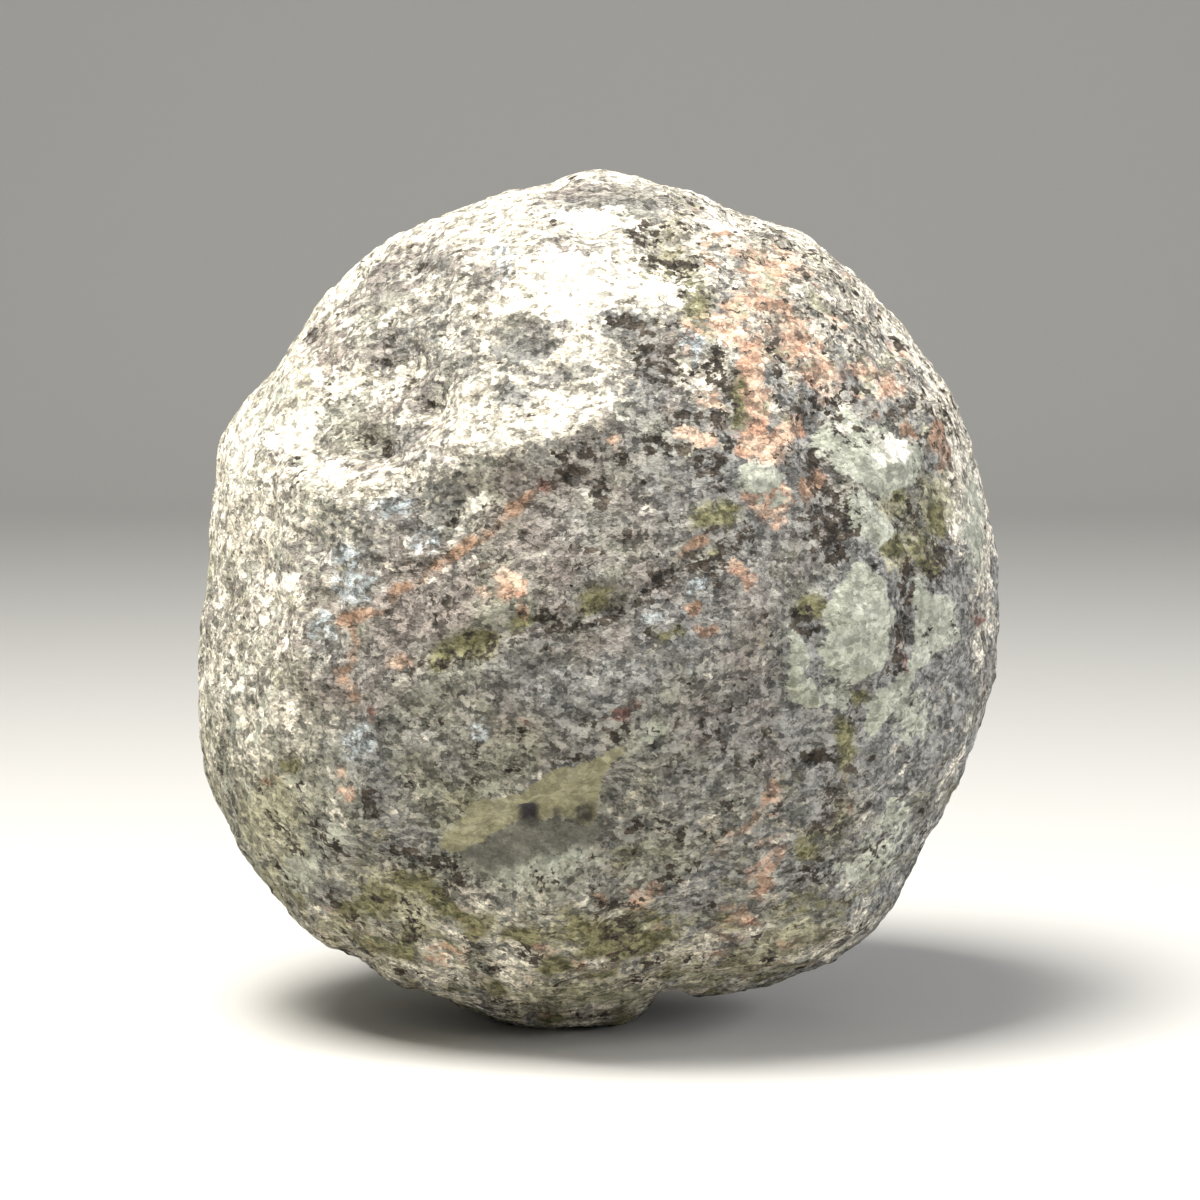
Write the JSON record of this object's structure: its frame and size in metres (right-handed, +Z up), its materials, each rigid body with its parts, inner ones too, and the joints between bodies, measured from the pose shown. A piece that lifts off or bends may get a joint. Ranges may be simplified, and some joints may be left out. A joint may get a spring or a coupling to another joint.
{
  "type": "coconut geode",
  "caption": "Whole uncut geode: a rough rounded ball of weathered, mineral-stained stone that stands on a small flat spot.",
  "frame": {"origin": "on the floor under the middle of the stone, at the bottom centre of its box", "axes": "+Z up from the flat spot, along the stone's tallest way; the side that the picture shows faces -Y; +X is to the right of that side"},
  "size_m": [0.096, 0.0943, 0.1018],
  "materials": {
    "geode_crust": "matt weathered crust, speckled grey, with cream, olive, salmon and pale green stains"
  },
  "bodies": {
    "root": {"geode": "geode_crust"}
  },
  "joints": []
}
